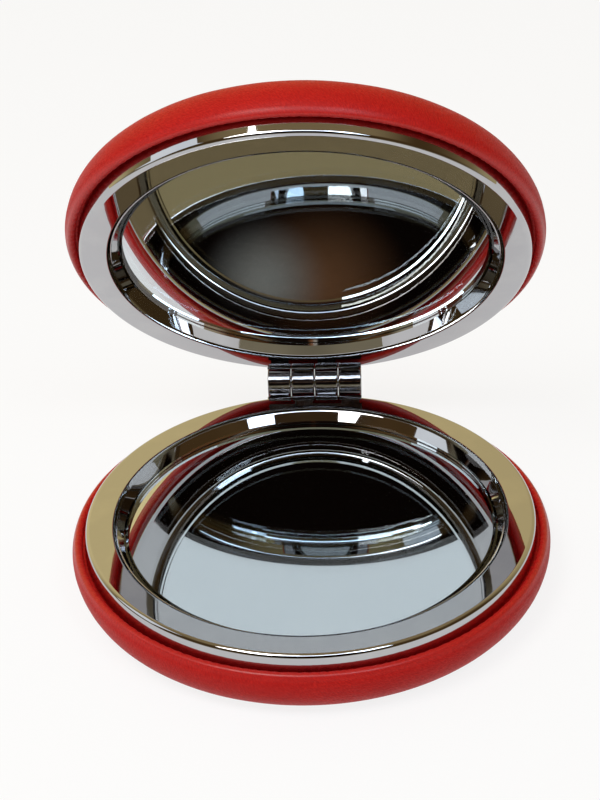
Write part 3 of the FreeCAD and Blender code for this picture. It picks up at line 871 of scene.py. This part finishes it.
mesh = bpy.data.meshes.new("floor")
corners = [(-1, -1), (1, -1), (1, 1), (-1, 1)]
mesh.from_pydata([(x * FLOOR_REACH, y * FLOOR_REACH, -FLOOR_DROP) for x, y in corners], [], [(0, 1, 2, 3)])
mesh.materials.append(floor_finish())
floor = bpy.data.objects.new("floor", mesh)
scene.collection.objects.link(floor)
print("floor reaches", FLOOR_REACH, "m")

# %% [markdown]
# ## Room and lamps
# Chrome and mirrors show the room, so the room matters as much as the lamps. It is a quiet one: a
# warm pale wall behind the mirror, a dimmer ceiling, and a dark side behind the camera with two dim
# glows in it, which the mirrors pick up. Four soft lamps give the white streaks on the rims: a large one
# high in front on the left, a cool one on the right, a wide pane at the left side and a long thin strip
# high in front.


# %% The room
WALL_LEFT = (1.0, 0.82, 0.40, 1)
WALL_RIGHT = (0.66, 0.52, 0.25, 1)
CEILING_BACK = (0.36, 0.265, 0.13, 1)
CEILING_FRONT = (0.13, 0.075, 0.03, 1)
FRONT_LOW = (0.3, 0.26, 0.17, 1)
FRONT_DARK = (0.006, 0.003, 0.002, 1)
FRONT_SIDES = (0.09, 0.05, 0.018, 1)
BROWN_GLOW = (0.22, 0.085, 0.035, 1)
BROWN_WAY = (-0.03, -0.862, 0.503)
BROWN_REACH = 0.05
GREY_GLOW = (0.36, 0.3, 0.25, 1)
GREY_WAY = (-0.06, -0.86, 0.506)
GREY_REACH = 0.036
LEFT_TO_RIGHT = -0.5, 0.5
AHEAD_TO_SIDES = 0.25, 0.6
LOW_TO_DARK = 0.09, 0.22
FRONT_TO_BACK = -0.6, -0.1
FRONT_TO_WALL = 0.0, 0.7
WALL_TO_CEILING = 0.62, 0.9


def glow(bench, way, middle, reach):
    """1 at a middle on the sky, fading to 0 at its reach."""
    distance = bench.add("ShaderNodeVectorMath", {"operation": "DISTANCE"}, {0: way, 1: middle}, "Value")
    return 1 - bench.step(distance, 0.0, reach)


def room():
    world = bpy.data.worlds.new("room")
    world.use_nodes = True
    bench = Bench(world.node_tree)
    way = bench.add("ShaderNodeTexCoord", out="Generated")
    x, y, z = bench.parts(way)
    wall = bench.mixed(bench.step(x, *LEFT_TO_RIGHT), WALL_LEFT, WALL_RIGHT)
    brown = bench.mixed(glow(bench, way, BROWN_WAY, BROWN_REACH), FRONT_DARK, BROWN_GLOW)
    ahead = bench.mixed(glow(bench, way, GREY_WAY, GREY_REACH), brown, GREY_GLOW)
    aside = bench.mixed(bench.step(abs(x), *AHEAD_TO_SIDES), ahead, FRONT_SIDES)
    front = bench.mixed(bench.step(z, *LOW_TO_DARK), FRONT_LOW, aside)
    ceiling = bench.mixed(bench.step(y, *FRONT_TO_BACK), CEILING_FRONT, CEILING_BACK)
    around = bench.mixed(bench.step(y, *FRONT_TO_WALL), front, wall)
    seen = bench.mixed(bench.step(z, *WALL_TO_CEILING), around, ceiling)
    background = world.node_tree.nodes["Background"]
    bench.feed(background.inputs["Color"], seen)
    return world


scene.world = room()
print("room:", scene.world.name)

# %% The lamps
LAMP_DISTANCE = 0.62
AIM = Vector((0, 0, 25 * MM))


def lamp(name, bearing, height, width, length, brightness, colour):
    """A soft rectangular lamp, by where it stands and how bright its face is."""
    light = bpy.data.lights.new(name, "AREA")
    light.shape = "RECTANGLE"
    light.size = width
    light.size_y = length
    light.energy = brightness * math.pi * width * length
    light.color = colour
    holder = bpy.data.objects.new(name, light)
    turn_to, rise = math.radians(bearing), math.radians(height)
    way = Vector((math.sin(turn_to) * math.cos(rise), math.cos(turn_to) * math.cos(rise), math.sin(rise)))
    holder.location = AIM + way * LAMP_DISTANCE
    holder.rotation_euler = way.to_track_quat("Z", "Y").to_euler()
    scene.collection.objects.link(holder)


WARM = (1.0, 0.97, 0.93)
COOL = (0.72, 0.86, 1.0)
PALE = (0.85, 0.93, 1.0)
BLUISH = (0.75, 0.85, 1.0)
lamp("overhead_softbox", bearing=-143, height=58, width=0.24, length=0.26, brightness=9.0, colour=WARM)
lamp("cool_window", bearing=145, height=53, width=0.14, length=0.22, brightness=6.0, colour=COOL)
lamp("side_window", bearing=-92, height=31, width=0.26, length=0.34, brightness=1.2, colour=PALE)
lamp("front_fill", bearing=180, height=57, width=0.5, length=0.1, brightness=6.0, colour=BLUISH)
print("lamps:", [light.name for light in bpy.data.lights])

# %% [markdown]
# ## Camera
# The view is from above and a little to the right, as one looks at an open mirror on a table. It was
# found by fitting the outlines of both halves to the picture, so it is given as a place, three angles
# and a lens.

# %% Place the camera
CAMERA_AT = Vector((10.61, -227.25, 170.31)) * MM
ASIDE = math.radians(-2.86)
TILT = math.radians(-31.79)
ROLL_OVER = math.radians(-2.47)
LENS = 85.5
NEAREST = 10 * MM
ahead = Vector((math.sin(ASIDE) * math.cos(TILT), math.cos(ASIDE) * math.cos(TILT), math.sin(TILT)))
right = Vector((math.cos(ASIDE), -math.sin(ASIDE), 0))
upward = right.cross(ahead)
tilted_right = right * math.cos(ROLL_OVER) + upward * math.sin(ROLL_OVER)
tilted_up = upward * math.cos(ROLL_OVER) - right * math.sin(ROLL_OVER)
view = bpy.data.cameras.new("camera")
view.lens = LENS
view.clip_start = NEAREST
camera = bpy.data.objects.new("camera", view)
facing = Matrix((tilted_right, tilted_up, -ahead)).transposed()
camera.matrix_world = Matrix.Translation(CAMERA_AT) @ facing.to_4x4()
scene.collection.objects.link(camera)
scene.camera = camera
scene.view_settings.view_transform = "Standard"
print("camera stands", round(CAMERA_AT.length / MM), "mm away")
